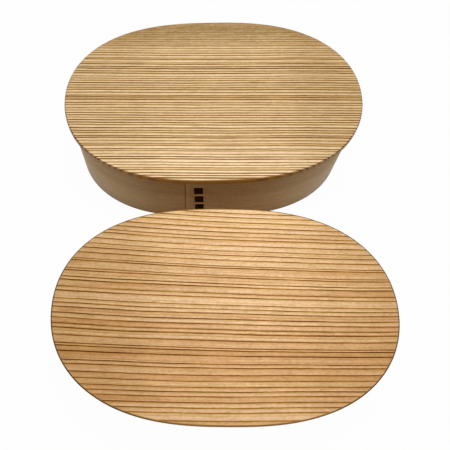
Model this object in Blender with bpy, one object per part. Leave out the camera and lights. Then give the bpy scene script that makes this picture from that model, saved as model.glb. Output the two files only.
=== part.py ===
"""Oval bentwood lunch box in two tiers, unstacked and standing side by side.

Each tier is one cedar strip bent into a hoop. Its two pared ends lap at the front and a bark
ribbon is laced through slits in the lap. A board closes the foot and a flat lid with a bent
locating ring closes the mouth. Metres, +Z up, origin on the table midway between the tiers.
"""

import math
from collections import namedtuple

import bmesh
import bpy
import numpy as np
from mathutils import Matrix, Vector

# Outline shared by both lids: an oval of the form |x/a|^p + |y/b|^q = 1, with flat sides and round ends
LID_LENGTH = 0.180
LID_WIDTH = 0.1154
SIDE_POWER = 2.6
END_POWER = 2.1
STATIONS = 88

# Clearances
GLUE_GAP = 0.0003
RING_CLEARANCE = 0.0005

# Lid boards
LID_THICKNESS = 0.0045
LID_UNDER_CHAMFER = 0.0006
LID_OVERHANG = 0.0026
ROUND_STEPS = 3

# Hoops: a strip whose pared ends lap over LAP_STATIONS steps of the outline
HOOP_THICKNESS = 0.0040
HOOP_EDGE = 0.0006
EDGE_SHARE = 0.3
LAP_STATIONS = 8
LAP_TIP = 0.0006
PARING_STATIONS = 5
SEAM_FROM_FRONT_CENTRE = -0.0181
SEAM_LEAN = math.radians(0.7)

# Boards set into the foot of each hoop
BOTTOM_THICKNESS = 0.0050
BOTTOM_CHAMFER = 0.0005

# Rings under the lids
RING_HEIGHT = 0.0090
RING_THICKNESS = 0.0030
RING_EDGE = 0.0006
RING_LAP_STATIONS = 6

# Bark lacing: a ribbon in running stitch down the lap
STITCHES = 3
STITCH_LENGTH = 0.0075
STITCH_SPACING = 0.0034
TOP_STITCH_BELOW_RIM = 0.0087
SLIT_REACH = 3 * HOOP_THICKNESS
LACE_WIDTH = 0.0053
LACE_THICKNESS = 0.0005
LACE_BOW = 0.0002
LACE_TURN = 0.0005
LACE_TUCK = 0.0008
LACE_FROM_FRONT_CENTRE = -0.0112
LACE_LEAN = math.radians(2.6)
TURN_STEPS = 3

# The two tiers as they stand: centre to centre, sideways offset and turn of each
TIER_SPACING = 0.1320
TIER_OFFSET = 0.0023
TIER_TURN = math.radians(0.94)

TIER_FIELDS = "hoop bottom lacing lid_board lid_ring tier lid height lid_round side lid_colour"
Tier = namedtuple("Tier", TIER_FIELDS)
UPPER = Tier("upper_hoop", "upper_bottom_board", "upper_bark_lacing", "top_lid_board", "top_lid_ring",
             "upper_tier", "top_lid", 0.0540, 0.0013, 1, (0.56, 0.36, 0.17))
LOWER = Tier("lower_hoop", "lower_bottom_board", "lower_bark_lacing", "inner_lid_board", "inner_lid_ring",
             "lower_tier", "inner_lid", 0.0525, 0.0008, -1, (0.58, 0.33, 0.14))

HOOP_COLOUR = (0.52, 0.37, 0.21)
BOARD_COLOUR = (0.56, 0.38, 0.20)
BARK_COLOUR = (0.030, 0.013, 0.009)
WOOD_ROUGHNESS = 0.62
BARK_ROUGHNESS = 0.42
SHARP_ANGLE = math.radians(35.0)


class Oval:
    """The lid outline, measured by length along it, anticlockwise from its +X end."""

    SAMPLES = 7200

    def __init__(self, length, width, side_power, end_power):
        self.half = (length / 2, width / 2)
        self.powers = (side_power, end_power)
        turn = np.linspace(0.0, 2.0 * math.pi, self.SAMPLES + 1)
        self.x = self.half[0] * self.raised(np.cos(turn), 2.0 / side_power)
        self.y = self.half[1] * self.raised(np.sin(turn), 2.0 / end_power)
        steps = np.hypot(np.diff(self.x), np.diff(self.y))
        self.along = np.concatenate(([0.0], np.cumsum(steps)))
        self.perimeter = float(self.along[-1])
        self.front_centre = 0.75 * self.perimeter

    @staticmethod
    def raised(value, power):
        return np.sign(value) * np.abs(value) ** power

    def inset_point(self, length, inset, z=0.0):
        """Point at a length along the outline, moved inwards by inset at a right angle to it."""
        s = length % self.perimeter
        x = float(np.interp(s, self.along, self.x))
        y = float(np.interp(s, self.along, self.y))
        slope = []
        for value, half, power in zip((x, y), self.half, self.powers):
            slope.append(power * float(self.raised(value / half, power - 1.0)) / half)
        normal = Vector((slope[0], slope[1], 0.0)).normalized()
        return Vector((x, y, z)) - inset * normal

    def outward(self, length):
        """Unit vector at a right angle to the outline, pointing out."""
        return (self.inset_point(length, 0.0) - self.inset_point(length, 0.001)).normalized()


OVAL = Oval(LID_LENGTH, LID_WIDTH, SIDE_POWER, END_POWER)
STEP = OVAL.perimeter / STATIONS


def clear_scene():
    for obj in list(bpy.data.objects):
        bpy.data.objects.remove(obj, do_unlink=True)


def principled(name, colour, roughness):
    material = bpy.data.materials.new(name)
    material.use_nodes = True
    shader = material.node_tree.nodes["Principled BSDF"]
    shader.inputs["Base Color"].default_value = (*colour, 1.0)
    shader.inputs["Roughness"].default_value = roughness
    shader.inputs["Metallic"].default_value = 0.0
    return material


def empty(name, location, turn=0.0, parent=None):
    obj = bpy.data.objects.new(name, None)
    bpy.context.scene.collection.objects.link(obj)
    obj.location = location
    obj.rotation_euler = (0.0, 0.0, turn)
    obj.parent = parent
    return obj


def mesh_object(name, bm, parent, material=None):
    """Turns a bmesh into a named object under its parent empty."""
    bmesh.ops.recalc_face_normals(bm, faces=bm.faces)
    mesh = bpy.data.meshes.new(name)
    bm.to_mesh(mesh)
    bm.free()
    mesh.shade_smooth()
    mesh.set_sharp_from_angle(angle=SHARP_ANGLE)
    obj = bpy.data.objects.new(name, mesh)
    bpy.context.scene.collection.objects.link(obj)
    obj.parent = parent
    if material:
        mesh.materials.append(material)
    return obj


def loft(bm, sections):
    """Joins matching closed rows of points with quads and caps both ends."""
    rows = [[bm.verts.new(point) for point in section] for section in sections]
    count = len(rows[0])
    for lower, upper in zip(rows, rows[1:]):
        for i in range(count):
            j = (i + 1) % count
            bm.faces.new((lower[i], lower[j], upper[j], upper[i]))
    bm.faces.new(rows[0])
    bm.faces.new(rows[-1])


def board(name, inset, profile, parent, material):
    """A flat oval board. The profile lists (extra inset, height) pairs from underside to top."""
    lengths = [i * STEP for i in range(STATIONS)]
    sections = [[OVAL.inset_point(s, inset + extra, z) for s in lengths] for extra, z in profile]
    bm = bmesh.new()
    loft(bm, sections)
    return mesh_object(name, bm, parent, material)


def rounded_top(thickness, chamfer, radius):
    """Board profile with a chamfered underside and a rounded upper edge."""
    profile = [(chamfer, 0.0), (0.0, chamfer)]
    for i in range(ROUND_STEPS + 1):
        angle = 0.5 * math.pi * i / ROUND_STEPS
        inset = radius * (1.0 - math.cos(angle))
        profile.append((inset, thickness - radius + radius * math.sin(angle)))
    return profile


def smooth(t):
    t = min(max(t, 0.0), 1.0)
    return t * t * (3.0 - 2.0 * t)


def strip_faces(station, laps, thickness):
    """Depths of a strip's outer and inner face, pared so that its two ends lap with a glue gap.

    Stations 0 to laps are the outer end. Stations from STATIONS on are the inner end, under it.
    """
    sunk = LAP_TIP + GLUE_GAP
    deepest = thickness - sunk

    def scarf(t):
        return LAP_TIP + (deepest - LAP_TIP) * t

    if station <= laps:
        inner = scarf(station / laps)
    else:
        inner = deepest + sunk * smooth((station - laps) / PARING_STATIONS)
    if station >= STATIONS:
        outer = scarf((station - STATIONS) / laps) + GLUE_GAP
    else:
        outer = sunk * smooth(1.0 - (STATIONS - station) / PARING_STATIONS)
    return outer, inner


def bent_strip(name, inset, thickness, foot, rim, laps, edge, parent, material, lean=0.0):
    """One strip bent round the outline from its outer end at the seam to its inner end."""
    seam = OVAL.front_centre + SEAM_FROM_FRONT_CENTRE
    middle = 0.5 * (foot + rim)
    sections = []
    for station in range(STATIONS + laps + 1):
        outer, inner = strip_faces(station, laps, thickness)
        ease = min(edge, EDGE_SHARE * (inner - outer))
        profile = [(outer, foot + ease), (outer + ease, foot), (inner - ease, foot), (inner, foot + ease),
                   (inner, rim - ease), (inner - ease, rim), (outer + ease, rim), (outer, rim - ease)]
        skew = math.tan(lean) if station == 0 else 0.0
        start = seam + station * STEP
        section = [OVAL.inset_point(start - skew * (z - middle), inset + depth, z) for depth, z in profile]
        sections.append(section)
    bm = bmesh.new()
    loft(bm, sections)
    return mesh_object(name, bm, parent, material)


def lacing_frame(rim):
    """Frame of the lacing: x along the lap, y out of the wall, z down the column from the rim."""
    length = OVAL.front_centre + LACE_FROM_FRONT_CENTRE
    origin = OVAL.inset_point(length, LID_OVERHANG, rim)
    out = OVAL.outward(length)
    down = Matrix.Rotation(LACE_LEAN, 4, out) @ Vector((0.0, 0.0, -1.0))
    along = out.cross(down)
    return Matrix.Translation(origin) @ Matrix((along, out, down)).transposed().to_4x4()


def slit_depths():
    """Distances below the rim of the slits, two for each stitch."""
    starts = [TOP_STITCH_BELOW_RIM + i * (STITCH_LENGTH + STITCH_SPACING) for i in range(STITCHES)]
    half = 0.5 * LACE_THICKNESS
    return [depth for start in starts for depth in (start + half, start + STITCH_LENGTH - half)]


def lacing_slits(name, frame, parent):
    """Cutter with one slot for each place where the ribbon passes through the lap."""
    bm = bmesh.new()
    size = (LACE_WIDTH + 2 * GLUE_GAP, SLIT_REACH, LACE_THICKNESS + 2 * GLUE_GAP)
    for depth in slit_depths():
        centre = Vector((0.0, -0.5 * HOOP_THICKNESS, depth))
        matrix = frame @ Matrix.Translation(centre) @ Matrix.Diagonal((*size, 1.0))
        bmesh.ops.create_cube(bm, size=1.0, matrix=matrix)
    cutter = mesh_object(name, bm, parent)
    cutter.hide_render = True
    cutter.display_type = "WIRE"
    return cutter


def cut(obj, cutter):
    modifier = obj.modifiers.new(cutter.name, "BOOLEAN")
    modifier.operation = "DIFFERENCE"
    modifier.solver = "EXACT"
    modifier.object = cutter


def stitch_corners():
    """Corners of the ribbon's centre line as (out, down) pairs, from tucked end to tucked end."""
    outside = GLUE_GAP + 0.5 * LACE_THICKNESS
    inside = -HOOP_THICKNESS - outside
    tucked = -HOOP_THICKNESS + LACE_TUCK
    depths = slit_depths()
    corners = [(tucked, depths[0])]
    for i in range(STITCHES):
        top, end = depths[2 * i], depths[2 * i + 1]
        corners += [(outside, top), (outside + LACE_BOW, 0.5 * (top + end)), (outside, end)]
        if i < STITCHES - 1:
            corners += [(inside, end), (inside, depths[2 * i + 2])]
    corners.append((tucked, depths[-1]))
    return [Vector(corner) for corner in corners]


def rounded_path(corners):
    """Replaces each inner corner by a short curve tangent to both its sides."""
    path = [corners[0]]
    for before, corner, after in zip(corners, corners[1:], corners[2:]):
        start = corner + (before - corner).normalized() * LACE_TURN
        end = corner + (after - corner).normalized() * LACE_TURN
        for i in range(TURN_STEPS + 1):
            t = i / TURN_STEPS
            path.append(start * (1 - t) ** 2 + corner * (2 * t * (1 - t)) + end * t ** 2)
    path.append(corners[-1])
    return path


def ribbon_edges(path):
    """The two sides of the ribbon, half its thickness either way of the centre line."""
    sides = ([], [])
    for i, point in enumerate(path):
        ahead = (path[min(i + 1, len(path) - 1)] - path[max(i - 1, 0)]).normalized()
        across = Vector((-ahead.y, ahead.x)) * (0.5 * LACE_THICKNESS)
        sides[0].append(point + across)
        sides[1].append(point - across)
    return sides


def bark_lacing(name, frame, parent, material):
    """The ribbon: its side view drawn once and carried across its width."""
    near, far = ribbon_edges(rounded_path(stitch_corners()))
    outline = near + far[::-1]
    sections = []
    for across in (-0.5 * LACE_WIDTH, 0.5 * LACE_WIDTH):
        sections.append([frame @ Vector((across, point.x, point.y)) for point in outline])
    bm = bmesh.new()
    loft(bm, sections)
    return mesh_object(name, bm, parent, material)


def build_tier(tier):
    """One tier with its lid, under empties at the tier's centre and on the lid's lift axis."""
    place = (-0.5 * tier.side * TIER_OFFSET, 0.5 * tier.side * TIER_SPACING, 0.0)
    stand = empty(tier.tier, place, tier.side * TIER_TURN)
    underside = tier.height - LID_THICKNESS
    lift = empty(tier.lid, (0.0, 0.0, underside), parent=stand)
    rim = underside - GLUE_GAP

    hoop_wood = principled(tier.hoop, HOOP_COLOUR, WOOD_ROUGHNESS)
    hoop = bent_strip(tier.hoop, LID_OVERHANG, HOOP_THICKNESS, 0.0, rim, LAP_STATIONS, HOOP_EDGE,
                      stand, hoop_wood, SEAM_LEAN)
    frame = lacing_frame(rim)
    cut(hoop, lacing_slits(tier.lacing + "_slits", frame, stand))
    bark_lacing(tier.lacing, frame, stand, principled(tier.lacing, BARK_COLOUR, BARK_ROUGHNESS))

    mouth = LID_OVERHANG + HOOP_THICKNESS
    chamfered = [(BOTTOM_CHAMFER, 0.0), (0.0, BOTTOM_CHAMFER), (0.0, BOTTOM_THICKNESS)]
    board(tier.bottom, mouth + GLUE_GAP, chamfered, stand,
          principled(tier.bottom, BOARD_COLOUR, WOOD_ROUGHNESS))

    lid_profile = rounded_top(LID_THICKNESS, LID_UNDER_CHAMFER, tier.lid_round)
    board(tier.lid_board, 0.0, lid_profile, lift, principled(tier.lid_board, tier.lid_colour, WOOD_ROUGHNESS))
    bent_strip(tier.lid_ring, mouth + RING_CLEARANCE, RING_THICKNESS, -GLUE_GAP - RING_HEIGHT, -GLUE_GAP,
               RING_LAP_STATIONS, RING_EDGE, lift, principled(tier.lid_ring, HOOP_COLOUR, WOOD_ROUGHNESS))


def main():
    clear_scene()
    for tier in (UPPER, LOWER):
        build_tier(tier)


main()
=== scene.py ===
"""Looks of the oval bentwood lunch box: fine meshes in place of the faceted solids, finishes of cedar and
bark, a pale floor, soft light and the camera."""
import math
from collections import namedtuple

import bmesh
import bpy
import numpy as np
from mathutils import Matrix, Vector


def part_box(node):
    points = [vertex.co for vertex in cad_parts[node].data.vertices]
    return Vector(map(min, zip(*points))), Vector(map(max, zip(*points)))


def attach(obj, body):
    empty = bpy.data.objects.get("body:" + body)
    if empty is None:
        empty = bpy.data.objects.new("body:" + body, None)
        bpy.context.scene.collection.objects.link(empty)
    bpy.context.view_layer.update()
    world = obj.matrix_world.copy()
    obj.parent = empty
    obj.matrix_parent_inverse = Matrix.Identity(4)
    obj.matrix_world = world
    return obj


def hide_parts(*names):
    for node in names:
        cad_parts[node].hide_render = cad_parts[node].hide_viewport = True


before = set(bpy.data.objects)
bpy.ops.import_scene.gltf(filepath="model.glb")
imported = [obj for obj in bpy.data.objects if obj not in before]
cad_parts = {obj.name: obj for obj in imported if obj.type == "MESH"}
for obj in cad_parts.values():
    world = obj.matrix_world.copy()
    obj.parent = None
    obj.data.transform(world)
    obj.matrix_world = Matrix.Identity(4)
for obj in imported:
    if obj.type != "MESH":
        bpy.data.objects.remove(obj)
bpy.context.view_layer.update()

# Outline of the lids, as in the solids: |x/a|^p + |y/b|^q = 1, and the turn of each tier
LID_LENGTH = 0.180
LID_WIDTH = 0.1154
SIDE_POWER = 2.6
END_POWER = 2.1
TIER_TURN = math.radians(0.94)

# Fineness of the meshes: stations round the outline as in the solids, and how much closer they lie here
STATIONS = 88
FINER = 4
ROUND_STEPS = 6
EDGE_STEPS = 3
SHARP_ANGLE = math.radians(40.0)

# Boards and strips. The inset keeps a fine lid inside the box of its faceted solid.
FACET_INSET = 0.00002
GLUE_GAP = 0.0003
LID_OVERHANG = 0.0026
LID_UNDER_ROUND = 0.0006
BOTTOM_ROUND = 0.0005
HOOP_THICKNESS = 0.0040
RING_CLEARANCE = 0.0005
RING_THICKNESS = 0.0030
STRIP_EDGE = 0.0006
STRIP_EDGE_SHARE = 0.3

# Laps of the strips and place of the seam, as in the solids. Some lengths are counted in stations.
LAP_STATIONS = 8
RING_LAP_STATIONS = 6
LAP_TIP = 0.0006
PARING_STATIONS = 5
SEAM_FROM_FRONT_CENTRE = -0.0181
SEAM_LEAN = math.radians(0.7)

# The seam's groove and the bevel rubbed down at the strip's outer end, which the fine meshes alone have. The
# cuts are the stations that shape the groove, in groove widths before the seam.
SEAM_GROOVE_DEPTH = 0.0004
SEAM_GROOVE_STATIONS = 0.09
SEAM_GROOVE_CUTS = (1.4, 1.0, 0.1)
SEAM_BEVEL = 0.00015
SEAM_BEVEL_STATIONS = 0.3

# Name of the mesh attribute that holds the length along a strip
RUN = "run"

# Bark lacing
STITCHES = 3
STITCH_LENGTH = 0.0075
STITCH_SPACING = 0.0034
TOP_STITCH_BELOW_RIM = 0.0087
SLIT_REACH = 3 * HOOP_THICKNESS
SLIT_CLEARANCE = 0.0001
LACE_WIDTH = 0.0053
LACE_THICKNESS = 0.0005
LACE_EDGE_SHARE = 0.8
LACE_SEAT = 0.00005
LACE_BOW = 0.0001
LACE_TURN = 0.0005
LACE_TUCK = 0.0008
LACE_FROM_FRONT_CENTRE = -0.0112
LACE_LEAN = math.radians(2.6)
LACE_SHARP_ANGLE = math.radians(60.0)
TURN_STEPS = 5

# Camera fitted to the photograph's 450 x 450 frame
PHOTO_WIDTH = 450
FOCAL_PIXELS = 537.2
CAMERA_PLACE = (-0.01910, -0.13754, 0.32255)
CAMERA_PITCH = math.radians(68.612)
CAMERA_HEADING = math.radians(-0.572)
CAMERA_ROLL = math.radians(0.061)
PRINCIPAL_POINT = (187.1, 248.0)
SENSOR_WIDTH = 36.0
NEAR_CLIP = 0.01

# Floor: its grey for the light, its share of plain white for the eye, and how the object shades it in gloss
FLOOR_HALF_SIZE = 3.0
FLOOR_DROP = 0.0002
FLOOR_GREY = 0.48
FLOOR_GLOW = 0.98
FLOOR_SHADE_REACH = 0.06
FLOOR_SHADE_RANGE = (0.2, 0.55)

# Light: the lamp overhead, and the dome's level as a light and as it is seen
LAMP_SIZE = (0.24, 0.10)
LAMP_POWER = 3.8
LAMP_PLACE = (0.03, 0.075, 0.70)
DOME_LIGHT = 0.215
DOME_SEEN = 1.0

# A tier, its lid, the sense of its turn and the radius of its lid's upper edge
Tier = namedtuple("Tier", "name lid side lid_round")
TIERS = (Tier("upper", "top_lid", 1, 0.0013), Tier("lower", "inner_lid", -1, 0.0008))

# Figure of a piece of wood. Lengths are in metres, widths across a line in parts of the spacing, colours
# linear.
# Course of the lines: seed of all chances, spacing and its jitter, slope (tilt) and its change along (bend)
# and across (fan), slow and quick wandering (sway, waver).
# Section of a line: width of its dark core, strength and steepness (bite) of the shoulder before it, drop
# behind it, strength from line to line, least strength along a line (fade), and of the fine lines between.
# Colours: the two of the early wood, the share of light that the darkest line takes (late) and the power of
# that for each channel (stain), a board's side along the grain (edge) and on end grain (end), the range of
# |normal z| over which they give way to the top (rim), and the rounded rim along the grain, on end grain and
# where lines end (worn). The side and rim colours are painted shade, the shadow that falls on a
# board's side and its rounded rim, together with the darker end grain.
# Shade: strength of wide patches (blotch) and small ones (mottle), and courses of (place, value) pairs for
# the tone across (tones) and along (ends), which paint light and shade over the board together
# with the wood's own tone, the lines' strength across (depths) and the share of the warm colour added across
# (warmth).
# Gloss is the specular level.
Figure = namedtuple("Figure", """seed spacing jitter tilt bend fan sway waver
                                 core shoulder bite drop strength fade fine
                                 early warm late stain edge end rim worn
                                 blotch mottle tones ends depths warmth gloss""")
EVEN = ((-1.0, 1.0), (1.0, 1.0))
NONE_ADDED = ((-1.0, 0.0), (1.0, 0.0))
# The tone courses across and along in these figures are painted light and shade as well as the wood's own
# tone
LID_FIGURES = {
    # In each lid, edge, end and the rim colours are painted shade on the board's side and rim, with darker
    # end grain
    "top_lid": Figure(
        seed=3.7, spacing=0.00178, jitter=0.5, tilt=0.028, bend=0.0, fan=0.0, sway=0.0005, waver=0.00010,
        core=(0.34, 0.52), shoulder=0.35, bite=1.0, drop=(0.05, 0.18), strength=(0.64, 1.0), fade=0.72,
        fine=0.25, early=(0.86, 0.653, 0.425), warm=(0.77, 0.550, 0.330), late=0.86, stain=(1.0, 1.40, 2.6),
        edge=(0.74, 0.36, 0.062), end=(0.86, 0.60, 0.31), rim=(0.74, 0.88),
        worn=((0.36, 0.172, 0.040), (0.48, 0.29, 0.145), (0.105, 0.050, 0.018)), blotch=0.04, mottle=0.09,
        tones=((-0.058, 1.16), (-0.010, 0.95), (0.010, 0.94), (0.030, 0.96), (0.050, 0.48)),
        ends=((-0.085, 0.92), (-0.050, 0.93), (-0.026, 0.99), (0.034, 0.97), (0.062, 0.82), (0.085, 0.82)),
        depths=((0.030, 1.0), (0.048, 0.38)), warmth=NONE_ADDED, gloss=0.05),
    "inner_lid": Figure(
        seed=11.3, spacing=0.00275, jitter=0.72, tilt=0.0244, bend=-0.16, fan=0.52, sway=0.0005,
        waver=0.00010, core=(0.14, 0.24), shoulder=0.34, bite=1.6, drop=(0.03, 0.10), strength=(0.76, 1.0),
        fade=0.66, fine=0.34, early=(0.86, 0.586, 0.341), warm=(0.68, 0.380, 0.172), late=0.88,
        stain=(1.0, 1.50, 3.2), edge=(0.40, 0.22, 0.080), end=(0.40, 0.23, 0.090), rim=(0.990, 0.9995),
        worn=((0.36, 0.18, 0.045), (0.060, 0.036, 0.018), (0.030, 0.014, 0.006)), blotch=0.04, mottle=0.13,
        tones=((-0.056, 1.03), (-0.034, 1.03), (0.030, 1.00), (0.054, 1.05)),
        ends=((-0.085, 0.735), (-0.055, 0.775), (-0.025, 0.97), (0.020, 1.05), (0.034, 1.02), (0.060, 0.90),
              (0.088, 0.83)),
        depths=((-0.056, 0.75), (-0.036, 1.12), (0.020, 1.0)),
        warmth=((-0.052, 0.25), (-0.031, 0.37), (-0.008, 0.24), (0.014, 0.0), (0.046, -0.25)), gloss=0.05),
}
HOOP_FIGURE = Figure(
    seed=23.1, spacing=0.0022, jitter=0.7, tilt=0.0, bend=0.0, fan=0.0, sway=0.0006, waver=0.0,
    core=(0.30, 0.50), shoulder=0.6, bite=1.2, drop=(0.05, 0.25), strength=(0.05, 0.40), fade=0.6, fine=0.12,
    early=(0.745, 0.480, 0.200), warm=(0.665, 0.405, 0.152), late=0.45, stain=(1.0, 1.2, 1.6),
    edge=None, end=None, rim=None, worn=None, blotch=0.05, mottle=0.09,
    tones=EVEN, ends=EVEN, depths=EVEN, warmth=NONE_ADDED, gloss=0.17)
# The bottom's side and rim colours are painted shade with darker end grain, as in the lids
BOTTOM_FIGURE = Figure(
    seed=31.9, spacing=0.0030, jitter=0.8, tilt=0.010, bend=0.0, fan=0.1, sway=0.0006, waver=0.00016,
    core=(0.20, 0.35), shoulder=0.3, bite=1.4, drop=(0.04, 0.16), strength=(0.45, 1.0), fade=0.8, fine=0.18,
    early=(0.74, 0.480, 0.220), warm=(0.60, 0.350, 0.138), late=0.73, stain=(1.0, 1.3, 2.0),
    edge=(0.46, 0.24, 0.080), end=(0.40, 0.23, 0.090), rim=(0.70, 0.86),
    worn=((0.36, 0.18, 0.045), (0.22, 0.128, 0.056), (0.050, 0.024, 0.008)), blotch=0.05, mottle=0.12,
    tones=EVEN, ends=EVEN, depths=EVEN, warmth=NONE_ADDED, gloss=0.12)

# Noises in the wood: waves per metre along and across the grain, detail, and offset. Fibres and tool marks
# have the same offset in every piece, and the others add the seed.
Streaks = namedtuple("Streaks", "along across detail offset")
SWAY = Streaks(12.0, 30.0, 1.0, 0.0)
WAVER = Streaks(75.0, 150.0, 2.0, 63.0)
FADE = Streaks(45.0, 420.0, 3.0, 4.0)
FLECKS = Streaks(110.0, 1500.0, 1.0, 41.0)
FIBRE = Streaks(30.0, 2200.0, 3.0, 8.0)
BANDS = Streaks(3.0, 55.0, 2.0, 15.0)
BLOTCHES = Streaks(22.0, 30.0, 2.0, 27.0)
DRIFT = Streaks(9.0, 260.0, 2.0, 19.0)
MOTTLE = Streaks(110.0, 520.0, 3.0, 71.0)
SPECKLE = Streaks(480.0, 1000.0, 2.0, 83.0)
TOOL_MARKS = Streaks(1100.0, 25.0, 1.0, 57.0)
OFFSET_SHARES = (1.0, 0.37, 0.71)

# What is the same for all the wood: ranges of a noise or of a distance, and strengths
SHOULDER_REACH = 0.85
FADE_RANGE = (-0.8, 0.4)
FINE_PER_LINE = 2.6
FINE_JITTER = 0.9
FINE_RANGE = (0.05, 0.35)
FLECK_RANGE = (0.50, 0.9)
FLECK_STRENGTH = 0.4
DRIFT_RANGE = (-0.6, 0.6)
DRIFT_LEAST = 0.35
SPECKLE_SHARE = 1.4
FIBRE_SHADE = 0.07
WARM_SHADE = (0.85, 1.0, 1.35)
ROUGHNESS = 0.48
FIBRE_ROUGHNESS = 0.05
LINE_ROUGHNESS = -0.06
FIBRE_BUMP = 0.5
WOOD_BUMP = 0.5
BUMP_HEIGHT = 0.00005

# A strip's outer end: lengths along it of the paler tip and of the part with tool marks
TIP_RANGE = (0.0003, 0.0030)
TIP_TONE = 1.14
TOOLED_RANGE = (0.012, 0.022)
TOOLED_STRENGTH = 0.05

# A board's side and rim, where painted shade is laid on: ranges of |normal x|, of |normal z| and of the
# lines' strength
SIDE_END_RANGE = (0.10, 0.70)
SIDE_FIGURE_SHARE = 0.5
SIDE_TO_RIM_RANGE = (0.15, 0.45)
RIM_END_RANGE = (0.04, 0.34)
RIM_LINE_RANGE = (0.05, 0.6)

# Bark: waves per metre of its noises, colours and finish
BARK_STREAKS = (180.0, 180.0, 2200.0)
BARK_STREAK_DETAIL = 3.0
BARK_STREAK_RANGE = (-0.8, 0.8)
BARK_PATCHES = (260.0, 260.0, 320.0)
BARK_PATCH_DETAIL = 2.0
BARK_PATCH_OFFSET = 6.0
BARK_COLOUR_RANGE = (-0.8, 0.9)
BARK_DARK = (0.013, 0.0042, 0.0001)
BARK_LIGHT = (0.060, 0.0185, 0.0006)
BARK_ROUGHNESS = (0.40, 0.6)
BARK_GLOSS = 0.01
BARK_BUMP = 0.6


class Oval:
    """The lid outline, measured by length along it, anticlockwise from its +X end."""

    SAMPLES = 7200

    def __init__(self, length, width, side_power, end_power):
        self.half = np.array((length / 2, width / 2))
        self.powers = np.array((side_power, end_power))
        turn = np.linspace(0.0, 2.0 * math.pi, self.SAMPLES + 1)
        self.points = self.half * self.raised(np.stack((np.cos(turn), np.sin(turn)), 1), 2.0 / self.powers)
        steps = np.hypot(*np.diff(self.points, axis=0).T)
        self.along = np.concatenate(([0.0], np.cumsum(steps)))
        self.perimeter = float(self.along[-1])
        # Three quarters of the way round is the middle of the front
        self.front_centre = 0.75 * self.perimeter

    @staticmethod
    def raised(value, power):
        """A power that keeps the sign of its base."""
        return np.sign(value) * np.abs(value) ** power

    def inset_points(self, lengths, insets, heights):
        """Points at lengths along the outline, each moved inwards by its inset at a right angle to it."""
        lengths, insets, heights = np.broadcast_arrays(lengths, insets, heights)
        s = np.mod(lengths, self.perimeter)
        flat = np.stack([np.interp(s, self.along, self.points[:, i]) for i in (0, 1)], -1)
        slope = self.powers * self.raised(flat / self.half, self.powers - 1.0) / self.half
        normal = slope / np.linalg.norm(slope, axis=-1, keepdims=True)
        moved = flat - insets[..., None] * normal
        return np.concatenate((moved, heights[..., None]), -1)

    def inset_point(self, length, inset, height):
        return Vector(self.inset_points(length, inset, height))


OVAL = Oval(LID_LENGTH, LID_WIDTH, SIDE_POWER, END_POWER)
STEP = OVAL.perimeter / STATIONS


def tier_matrix(tier):
    """Where a tier stands: the middle of its lid board, on the table, turned as it is."""
    low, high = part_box(tier.lid + "_board")
    middle = 0.5 * (low + high)
    turn = Matrix.Rotation(tier.side * TIER_TURN, 4, "Z")
    return Matrix.Translation((middle.x, middle.y, 0.0)) @ turn


def make_object(name, bm, matrix, sharp_angle=SHARP_ANGLE):
    """Moves a bmesh to where it stands and turns it into an object."""
    bm.transform(matrix)
    bmesh.ops.recalc_face_normals(bm, faces=bm.faces)
    mesh = bpy.data.meshes.new(name)
    bm.to_mesh(mesh)
    bm.free()
    mesh.shade_smooth()
    mesh.set_sharp_from_angle(angle=sharp_angle)
    obj = bpy.data.objects.new(name, mesh)
    bpy.context.scene.collection.objects.link(obj)
    return obj


def loft(sections):
    """A bmesh of closed sections joined by quads and capped at both ends."""
    bm = bmesh.new()
    rows = [[bm.verts.new(point) for point in section] for section in sections]
    count = len(rows[0])
    for lower, upper in zip(rows, rows[1:]):
        for i in range(count):
            j = (i + 1) % count
            bm.faces.new((lower[i], lower[j], upper[j], upper[i]))
    bm.faces.new(rows[0])
    bm.faces.new(rows[-1])
    return bm


def smooth(t):
    """Eases from 0 to 1."""
    t = min(max(t, 0.0), 1.0)
    return t * t * (3.0 - 2.0 * t)


def quarter_round(corner, start, end, steps):
    """Points from corner + start to corner + end on a quarter circle tangent to both sides."""
    points = []
    for i in range(steps + 1):
        angle = 0.5 * math.pi * i / steps
        a, b = 1.0 - math.sin(angle), 1.0 - math.cos(angle)
        points.append((corner[0] + a * start[0] + b * end[0], corner[1] + a * start[1] + b * end[1]))
    return points


def board(name, inset, low, high, under_round, top_round, matrix):
    """A flat oval board with rounded edges, given by its inset from the outline and its two heights."""
    profile = quarter_round((0.0, low), (under_round, 0.0), (0.0, under_round), EDGE_STEPS)
    profile += quarter_round((0.0, high), (0.0, -top_round), (top_round, 0.0), ROUND_STEPS)
    lengths = np.arange(STATIONS * FINER) * STEP / FINER
    sections = [OVAL.inset_points(lengths, inset + extra, height) for extra, height in profile]
    return make_object(name, loft(sections), matrix)


def strip_faces(station, laps, thickness):
    """Depths of a strip's outer and inner face at a station, with its two pared ends, the groove at the seam
    and the bevel rubbed down at its outer end."""
    sunk = LAP_TIP + GLUE_GAP
    deepest = thickness - sunk

    def scarf(t):
        return LAP_TIP + (deepest - LAP_TIP) * t

    if station <= laps:
        inner = scarf(station / laps)
    else:
        inner = deepest + sunk * smooth((station - laps) / PARING_STATIONS)
    if station >= STATIONS:
        outer = scarf((station - STATIONS) / laps) + GLUE_GAP
    else:
        outer = sunk * smooth(1.0 - (STATIONS - station) / PARING_STATIONS)
    if STATIONS - SEAM_GROOVE_STATIONS <= station <= STATIONS:
        outer += SEAM_GROOVE_DEPTH
    outer += SEAM_BEVEL * max(0.0, 1.0 - station / SEAM_BEVEL_STATIONS) ** 2
    return outer, inner


def strip_stations(laps):
    """Even stations along a strip, with a few more at its seam."""
    even = [i / FINER for i in range((STATIONS + laps) * FINER + 1)]
    bevel = [SEAM_BEVEL_STATIONS * i / ROUND_STEPS for i in range(1, ROUND_STEPS + 1)]
    groove = [STATIONS - SEAM_GROOVE_STATIONS * share for share in SEAM_GROOVE_CUTS]
    return sorted(set(even + bevel + groove))


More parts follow.
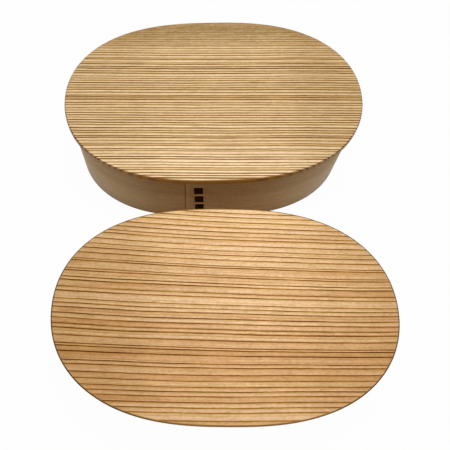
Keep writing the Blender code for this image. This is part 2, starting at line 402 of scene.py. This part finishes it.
def strip_profile(outer, inner, foot, rim):
    """Cross-section of a strip, with its four edges eased."""
    e = min(STRIP_EDGE, STRIP_EDGE_SHARE * (inner - outer))
    profile = quarter_round((outer, foot), (0.0, e), (e, 0.0), EDGE_STEPS)
    profile += quarter_round((inner, foot), (-e, 0.0), (0.0, e), EDGE_STEPS)
    profile += quarter_round((inner, rim), (0.0, -e), (-e, 0.0), EDGE_STEPS)
    profile += quarter_round((outer, rim), (e, 0.0), (0.0, -e), EDGE_STEPS)
    return np.array(profile)


def bent_strip(name, inset, thickness, foot, rim, laps, matrix, lean=0.0):
    """One strip bent round the outline from its outer end at the seam to its inner end. Each point keeps the
    length along the strip."""
    seam = OVAL.front_centre + SEAM_FROM_FRONT_CENTRE
    middle = 0.5 * (foot + rim)
    stations = strip_stations(laps)
    sections = []
    for station in stations:
        profile = strip_profile(*strip_faces(station, laps, thickness), foot, rim)
        depth, height = profile.T
        skew = math.tan(lean) * max(0.0, 1.0 - station)
        lengths = seam + station * STEP - skew * (height - middle)
        sections.append(OVAL.inset_points(lengths, inset + depth, height))
    strip = make_object(name, loft(sections), matrix)
    runs = np.repeat(np.array(stations) * STEP, len(sections[0]))
    strip.data.attributes.new(RUN, "FLOAT", "POINT").data.foreach_set("value", runs)
    return strip


def lacing_frame(rim):
    """Frame of the lacing: x along the lap, y out of the wall, z down the column from the rim."""
    length = OVAL.front_centre + LACE_FROM_FRONT_CENTRE
    origin = OVAL.inset_point(length, LID_OVERHANG, rim)
    out = (origin - OVAL.inset_point(length, LID_OVERHANG + HOOP_THICKNESS, rim)).normalized()
    down = Matrix.Rotation(LACE_LEAN, 4, out) @ Vector((0.0, 0.0, -1.0))
    return Matrix.Translation(origin) @ Matrix((out.cross(down), out, down)).transposed().to_4x4()


def slit_depths():
    """Distances below the rim of the slits, two for each stitch."""
    starts = [TOP_STITCH_BELOW_RIM + i * (STITCH_LENGTH + STITCH_SPACING) for i in range(STITCHES)]
    half = 0.5 * LACE_THICKNESS
    return [depth for start in starts for depth in (start + half, start + STITCH_LENGTH - half)]


def cut_slits(wall, lacing, matrix):
    """Cuts the slots that the ribbon passes through and keeps the cut mesh."""
    bm = bmesh.new()
    size = (LACE_WIDTH + 2 * SLIT_CLEARANCE, SLIT_REACH, LACE_THICKNESS + 2 * SLIT_CLEARANCE)
    for depth in slit_depths():
        centre = Matrix.Translation((0.0, -0.5 * HOOP_THICKNESS, depth))
        bmesh.ops.create_cube(bm, size=1.0, matrix=lacing @ centre @ Matrix.Diagonal((*size, 1.0)))
    cutter = make_object(wall.name + "_slits", bm, matrix)
    modifier = wall.modifiers.new("slits", "BOOLEAN")
    modifier.object = cutter
    bpy.context.view_layer.update()
    evaluated = wall.evaluated_get(bpy.context.evaluated_depsgraph_get())
    mesh = bpy.data.meshes.new_from_object(evaluated)
    wall.modifiers.clear()
    wall.data = mesh
    mesh.set_sharp_from_angle(angle=SHARP_ANGLE)
    bpy.data.objects.remove(cutter)


def stitch_corners():
    """Corners of the ribbon's centre line as (out, down) pairs, from tucked end to tucked end."""
    outside = LACE_SEAT + 0.5 * LACE_THICKNESS
    inside = -HOOP_THICKNESS - outside
    tucked = -HOOP_THICKNESS + LACE_TUCK
    depths = slit_depths()
    corners = [(tucked, depths[0])]
    for i in range(STITCHES):
        top, end = depths[2 * i], depths[2 * i + 1]
        corners += [(outside, top), (outside + LACE_BOW, 0.5 * (top + end)), (outside, end)]
        if i < STITCHES - 1:
            corners += [(inside, end), (inside, depths[2 * i + 2])]
    corners.append((tucked, depths[-1]))
    return [Vector(corner) for corner in corners]


def rounded_path(corners):
    """Replaces each inner corner by a short curve tangent to both its sides."""
    path = [corners[0]]
    for before, corner, after in zip(corners, corners[1:], corners[2:]):
        start = corner + (before - corner).normalized() * LACE_TURN
        end = corner + (after - corner).normalized() * LACE_TURN
        for i in range(TURN_STEPS + 1):
            t = i / TURN_STEPS
            path.append(start * (1 - t) ** 2 + corner * (2 * t * (1 - t)) + end * t ** 2)
    path.append(corners[-1])
    return path


def bark_lacing(name, lacing, matrix):
    """The ribbon, a flat section with rounded sides carried along its stitches."""
    half_width, half_thick = 0.5 * LACE_WIDTH, 0.5 * LACE_THICKNESS
    ease = LACE_EDGE_SHARE * half_thick
    section = []
    for x, y in ((1, 1), (-1, 1), (-1, -1), (1, -1)):
        corner = (x * half_width, y * half_thick)
        sides = ((0.0, -y * ease), (-x * ease, 0.0))
        start, end = sides if x * y > 0 else sides[::-1]
        section += quarter_round(corner, start, end, EDGE_STEPS)
    path = rounded_path(stitch_corners())
    sections = []
    for i, point in enumerate(path):
        ahead = (path[min(i + 1, len(path) - 1)] - path[max(i - 1, 0)]).normalized()
        across = Vector((-ahead.y, ahead.x))
        row = []
        for x, y in section:
            place = point + across * y
            row.append(lacing @ Vector((x, place.x, place.y)))
        sections.append(row)
    return make_object(name, loft(sections), matrix, LACE_SHARP_ANGLE)


class Graph:
    """Short names for the shader nodes of a material or a world."""

    def __init__(self, owner, shader):
        owner.use_nodes = True
        self.owner = owner
        self.tree = owner.node_tree
        self.shader = self.tree.nodes[shader]

    @classmethod
    def of_material(cls, name):
        return cls(bpy.data.materials.new(name), "Principled BSDF")

    def node(self, kind, **settings):
        made = self.tree.nodes.new("ShaderNode" + kind)
        for key, value in settings.items():
            setattr(made, key, value)
        return made

    def feed(self, socket, value):
        """Links a socket to another one, or sets its value."""
        if isinstance(value, bpy.types.NodeSocket):
            self.tree.links.new(value, socket)
        elif value is not None:
            socket.default_value = value

    def math(self, operation, a, b=None):
        made = self.node("Math", operation=operation)
        for socket, value in zip(made.inputs, (a, b)):
            self.feed(socket, value)
        return made.outputs[0]

    def add(self, *values):
        total = values[0]
        for value in values[1:]:
            total = self.math("ADD", total, value)
        return total

    def times(self, *values):
        total = values[0]
        for value in values[1:]:
            total = self.math("MULTIPLY", total, value)
        return total

    def ramp(self, value, low, high, out_low=0.0, out_high=1.0, smooth_ends=True):
        """A value taken from one range to another and held at its ends."""
        kind = "SMOOTHSTEP" if smooth_ends else "LINEAR"
        made = self.node("MapRange", interpolation_type=kind)
        for key, item in (("Value", value), ("From Min", low), ("From Max", high),
                          ("To Min", out_low), ("To Max", out_high)):
            self.feed(made.inputs[key], item)
        return made.outputs[0]

    def mix(self, factor, a, b, blend="MIX"):
        """Two colours mixed. On a node set to colours, inputs 6 and 7 and output 2 are the ones in use."""
        made = self.node("Mix", data_type="RGBA", blend_type=blend)
        self.feed(made.inputs[0], factor)
        for socket, value in zip(made.inputs[6:8], (a, b)):
            self.feed(socket, (*value, 1.0) if isinstance(value, tuple) else value)
        return made.outputs[2]

    def tint(self, colour, factors):
        """A colour times a factor for each channel."""
        return self.mix(1.0, colour, self.combine(*factors), "MULTIPLY")

    def combine(self, x, y, z):
        made = self.node("CombineXYZ")
        for socket, value in zip(made.inputs, (x, y, z)):
            self.feed(socket, value)
        return made.outputs[0]

    def split(self, vector):
        made = self.node("SeparateXYZ")
        self.feed(made.inputs[0], vector)
        return made.outputs[:]

    def noise(self, vector, scale, detail, offset=0.0):
        """Noise from about -1 to 1, of a vector stretched by a scale for each axis."""
        mapping = self.node("Mapping")
        self.feed(mapping.inputs["Vector"], vector)
        mapping.inputs["Scale"].default_value = scale
        mapping.inputs["Location"].default_value = [offset * share for share in OFFSET_SHARES]
        made = self.node("TexNoise", noise_dimensions="3D", normalize=False)
        self.feed(made.inputs["Vector"], mapping.outputs[0])
        made.inputs["Scale"].default_value = 1.0
        made.inputs["Detail"].default_value = detail
        return made.outputs[0]

    def lines(self, value, randomness):
        """The nearest of many lines at random places about one apart: signed distance to it, and its three
        chances."""
        made = self.node("TexVoronoi", voronoi_dimensions="1D", feature="F1")
        self.feed(made.inputs["W"], value)
        made.inputs["Scale"].default_value = 1.0
        made.inputs["Randomness"].default_value = randomness
        return self.math("SUBTRACT", value, made.outputs["W"]), self.split(made.outputs["Color"])

    def curve(self, value, stops):
        """A smooth course through (place, factor) pairs."""
        total = stops[0][1]
        for (start, before), (end, after) in zip(stops, stops[1:]):
            total = self.add(self.ramp(value, start, end, 0.0, after - before), total)
        return total

    def bump(self, height, strength):
        """Roughens the surface by a height."""
        made = self.node("Bump")
        made.inputs["Strength"].default_value = strength
        made.inputs["Distance"].default_value = BUMP_HEIGHT
        self.feed(made.inputs["Height"], height)
        self.feed(self.shader.inputs["Normal"], made.outputs[0])


def board_place(g, matrix):
    """Coordinates in a board's own frame: x along it, y across it."""
    mapping = g.node("Mapping")
    g.feed(mapping.inputs["Vector"], g.node("TexCoord").outputs["Object"])
    inverse = matrix.inverted()
    mapping.inputs["Location"].default_value = inverse.to_translation()
    mapping.inputs["Rotation"].default_value = inverse.to_euler()
    return mapping.outputs[0]


def dark_lines(g, figure, rings, across, streaks):
    """Strength of the dark late wood: the lines, the finer ones between them, and flecks."""
    offset, chances = g.lines(rings, figure.jitter)
    width = g.ramp(chances[0], 0.0, 1.0, *figure.core, False)
    core = g.ramp(offset, g.times(width, -1.0), g.times(width, -0.5), 0.0, 1.0, False)
    shoulder = g.math("POWER", g.ramp(offset, -SHOULDER_REACH, 0.0, 0.0, 1.0, False), figure.bite)
    strength = g.ramp(chances[1], 0.0, 1.0, *figure.strength, False)
    fade = g.ramp(streaks(FADE), *FADE_RANGE, figure.fade, 1.0)
    drop = g.ramp(offset, *figure.drop, 1.0, 0.0)
    line = g.math("MAXIMUM", core, g.times(shoulder, figure.shoulder))
    line = g.times(line, drop, strength, fade, g.curve(across, figure.depths))
    fine_offset, fine_chances = g.lines(g.times(rings, FINE_PER_LINE), FINE_JITTER)
    fine = g.ramp(g.math("ABSOLUTE", fine_offset), *FINE_RANGE, 1.0, 0.0)
    fine = g.times(fine, fine_chances[0], figure.fine)
    flecks = g.ramp(streaks(FLECKS), *FLECK_RANGE, 0.0, FLECK_STRENGTH)
    return g.math("MAXIMUM", line, g.math("MAXIMUM", fine, flecks))


def strip_end(g, wood, along, streaks):
    """The wood of a strip, with a paler tip and faint tool marks at its outer end."""
    tip = g.ramp(along, *TIP_RANGE, TIP_TONE, 1.0)
    marks = g.times(g.ramp(along, *TOOLED_RANGE, TOOLED_STRENGTH, 0.0), streaks(TOOL_MARKS, 0.0))
    return g.tint(wood, 3 * [g.add(tip, marks)])


def board_sides(g, figure, wood, line):
    """The wood of a board, with the colours of its side and of its rounded rim, which paint the shade on
    them along with the darker end grain.
    """
    nx, _, nz = g.split(g.node("NewGeometry").outputs["Normal"])
    level = g.math("ABSOLUTE", nz)
    endwise = g.math("ABSOLUTE", nx)
    # The side's colours paint the shade on the board's side, along the grain and on end grain
    side = g.mix(g.ramp(endwise, *SIDE_END_RANGE), figure.edge, figure.end)
    side = g.mix(SIDE_FIGURE_SHARE, side, g.mix(1.0, side, wood, "MULTIPLY"))
    # The rim's colours paint the shade on the rounded rim, darker on end grain and where lines end
    beside, across_ends, on_lines = figure.worn
    rim = g.mix(g.ramp(line, *RIM_LINE_RANGE), across_ends, on_lines)
    rim = g.mix(g.ramp(endwise, *RIM_END_RANGE), beside, rim)
    edge = g.mix(g.ramp(level, *SIDE_TO_RIM_RANGE), side, rim)
    return g.mix(g.ramp(level, *figure.rim, 1.0, 0.0), wood, edge)


def cedar(name, figure, matrix=Matrix.Identity(4), bent=False):
    """Straight-grained cedar. Lines run along X on a board, and round the wall on a bent strip."""
    g = Graph.of_material(name)
    along, across, deep = g.split(board_place(g, matrix))
    if bent:
        along, across, deep = g.node("Attribute", attribute_name=RUN).outputs["Fac"], deep, 0.0
    place = g.combine(along, across, deep)

    def streaks(kind, seed=figure.seed):
        return g.noise(place, (kind.along, kind.across, kind.along), kind.detail, kind.offset + seed)

    sway = g.add(g.times(streaks(SWAY), figure.sway), g.times(streaks(WAVER), figure.waver))
    drift = g.times(along, g.add(figure.tilt, g.times(along, figure.bend), g.times(across, figure.fan)))
    rings = g.add(g.times(g.add(across, drift, sway), 1.0 / figure.spacing), figure.seed)
    line = dark_lines(g, figure, rings, across, streaks)
    fibre = streaks(FIBRE, 0.0)

    # Early wood between the lines, then the lines, then patches of tone and the painted light and shade of
    # the courses across and along
    ring_tone = g.lines(g.add(rings, 0.5), figure.jitter)[1][2]
    drifting = g.ramp(streaks(DRIFT), *DRIFT_RANGE, DRIFT_LEAST, 1.0)
    warmth = g.add(g.times(ring_tone, drifting), g.curve(across, figure.warmth))
    wood = g.mix(warmth, figure.early, figure.warm)
    spared = g.add(g.times(line, -figure.late), 1.0)
    wood = g.tint(wood, [g.math("POWER", spared, power) for power in figure.stain])
    mottle = g.add(streaks(MOTTLE), g.times(streaks(SPECKLE), SPECKLE_SHARE))
    # The courses across and along paint the light and shade that falls over the board, on top of the wood's
    # own patches of tone
    shade = g.add(g.times(fibre, FIBRE_SHADE), g.times(streaks(BANDS), figure.blotch),
                  g.times(streaks(BLOTCHES), figure.blotch), g.times(mottle, figure.mottle),
                  g.curve(across, figure.tones))
    shade = g.times(shade, g.curve(along, figure.ends))
    wood = g.tint(wood, [g.math("POWER", shade, power) for power in WARM_SHADE])
    wood = strip_end(g, wood, along, streaks) if bent else board_sides(g, figure, wood, line)

    roughness = g.add(ROUGHNESS, g.times(fibre, FIBRE_ROUGHNESS), g.times(line, LINE_ROUGHNESS))
    g.feed(g.shader.inputs["Base Color"], wood)
    g.feed(g.shader.inputs["Roughness"], roughness)
    g.shader.inputs["Specular IOR Level"].default_value = figure.gloss
    g.bump(g.add(line, g.times(fibre, FIBRE_BUMP)), WOOD_BUMP)
    return g.owner


def bark(name):
    """Dark bark with fine cross streaks."""
    g = Graph.of_material(name)
    place = g.node("TexCoord").outputs["Object"]
    streak = g.noise(place, BARK_STREAKS, BARK_STREAK_DETAIL)
    patch = g.noise(place, BARK_PATCHES, BARK_PATCH_DETAIL, BARK_PATCH_OFFSET)
    colour = g.mix(g.ramp(g.add(streak, patch), *BARK_COLOUR_RANGE), BARK_DARK, BARK_LIGHT)
    g.feed(g.shader.inputs["Base Color"], colour)
    g.feed(g.shader.inputs["Roughness"], g.ramp(streak, *BARK_STREAK_RANGE, *BARK_ROUGHNESS))
    g.shader.inputs["Specular IOR Level"].default_value = BARK_GLOSS
    g.bump(streak, BARK_BUMP)
    return g.owner


def dress(obj, material, body, node):
    """Gives a fine mesh its finish, and puts it in place of its solid."""
    obj.data.materials.clear()
    obj.data.materials.append(material)
    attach(obj, body)
    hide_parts(node)


def build_tier(tier, materials):
    """The five pieces of a tier and its lid."""
    matrix = tier_matrix(tier)
    body = tier.name + "_tier"
    mouth = LID_OVERHANG + HOOP_THICKNESS

    hoop = tier.name + "_hoop"
    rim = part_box(hoop)[1].z
    wall = bent_strip(tier.name + "_wall", LID_OVERHANG, HOOP_THICKNESS, 0.0, rim, LAP_STATIONS, matrix,
                      SEAM_LEAN)
    lacing = lacing_frame(rim)
    cut_slits(wall, lacing, matrix)
    dress(wall, materials["hoop"], body, hoop)
    ribbon = bark_lacing(tier.name + "_lacing", lacing, matrix)
    dress(ribbon, materials["bark"], body, tier.name + "_bark_lacing")

    bottom = tier.name + "_bottom_board"
    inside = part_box(bottom)[1].z
    base = board(tier.name + "_base", mouth + GLUE_GAP, 0.0, inside, BOTTOM_ROUND, BOTTOM_ROUND, matrix)
    dress(base, materials["bottom"], body, bottom)

    panel = tier.lid + "_board"
    low, high = (corner.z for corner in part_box(panel))
    top = board(tier.lid + "_panel", FACET_INSET, low, high, LID_UNDER_ROUND, tier.lid_round, matrix)
    lid_cedar = cedar(tier.lid + "_cedar", LID_FIGURES[tier.lid], matrix)
    dress(top, lid_cedar, tier.lid, panel)

    ring = tier.lid + "_ring"
    low, high = (corner.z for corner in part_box(ring))
    inner = bent_strip(tier.lid + "_rim", mouth + RING_CLEARANCE, RING_THICKNESS, low, high,
                       RING_LAP_STATIONS, matrix)
    dress(inner, materials["hoop"], tier.lid, ring)


def seen_ray(g, openness=1.0):
    """1 for rays that look at the stage directly or through glass, and its openness for those in gloss."""
    path = g.node("LightPath")
    direct = g.math("MAXIMUM", path.outputs["Is Camera Ray"], path.outputs["Is Transmission Ray"])
    return g.math("MAXIMUM", direct, g.times(path.outputs["Is Glossy Ray"], openness))


def make_floor():
    """A pale floor that shows white, with only a faint shadow on it."""
    bm = bmesh.new()
    bmesh.ops.create_grid(bm, x_segments=1, y_segments=1, size=FLOOR_HALF_SIZE)
    floor = make_object("floor", bm, Matrix.Translation((0.0, 0.0, -FLOOR_DROP)))
    g = Graph.of_material("floor_white")
    g.tree.nodes.remove(g.shader)
    matt = g.node("BsdfDiffuse")
    matt.inputs["Color"].default_value = (*3 * (FLOOR_GREY,), 1.0)
    glow = g.node("Emission")
    glow.inputs["Strength"].default_value = 1.0
    sky = g.node("AmbientOcclusion")
    sky.inputs["Distance"].default_value = FLOOR_SHADE_REACH
    openness = g.ramp(sky.outputs["AO"], *FLOOR_SHADE_RANGE)
    both = g.node("MixShader")
    g.feed(both.inputs[0], g.times(seen_ray(g, openness), FLOOR_GLOW))
    g.feed(both.inputs[1], matt.outputs[0])
    g.feed(both.inputs[2], glow.outputs[0])
    g.feed(g.tree.nodes["Material Output"].inputs["Surface"], both.outputs[0])
    floor.data.materials.append(g.owner)


def make_light():
    """A soft lamp overhead and an even dome, which shows white to the camera."""
    lamp = bpy.data.lights.new("softbox", "AREA")
    lamp.shape = "RECTANGLE"
    lamp.size, lamp.size_y = LAMP_SIZE
    lamp.energy = LAMP_POWER
    holder = bpy.data.objects.new("softbox", lamp)
    bpy.context.scene.collection.objects.link(holder)
    holder.location = LAMP_PLACE

    g = Graph(bpy.data.worlds.new("dome"), "Background")
    bpy.context.scene.world = g.owner
    g.shader.inputs["Color"].default_value = (1.0, 1.0, 1.0, 1.0)
    g.feed(g.shader.inputs["Strength"], g.ramp(seen_ray(g), 0.0, 1.0, DOME_LIGHT, DOME_SEEN, False))


def make_camera():
    """The camera, placed, turned and shifted as the photograph's."""
    data = bpy.data.cameras.new("camera")
    data.sensor_width = SENSOR_WIDTH
    data.lens = SENSOR_WIDTH * FOCAL_PIXELS / PHOTO_WIDTH
    data.shift_x = 0.5 - PRINCIPAL_POINT[0] / PHOTO_WIDTH
    data.shift_y = PRINCIPAL_POINT[1] / PHOTO_WIDTH - 0.5
    data.clip_start = NEAR_CLIP
    camera = bpy.data.objects.new("camera", data)
    bpy.context.scene.collection.objects.link(camera)
    heading = Matrix.Rotation(CAMERA_HEADING, 4, "Z")
    pitch = Matrix.Rotation(0.5 * math.pi - CAMERA_PITCH, 4, "X")
    roll = Matrix.Rotation(CAMERA_ROLL, 4, "Z")
    camera.matrix_world = Matrix.Translation(CAMERA_PLACE) @ heading @ pitch @ roll
    bpy.context.scene.camera = camera


materials = {
    "hoop": cedar("bent_cedar", HOOP_FIGURE, bent=True),
    "bottom": cedar("bottom_cedar", BOTTOM_FIGURE),
    "bark": bark("bark"),
}
for tier in TIERS:
    build_tier(tier, materials)
make_floor()
make_light()
make_camera()
bpy.context.scene.view_settings.view_transform = "Standard"
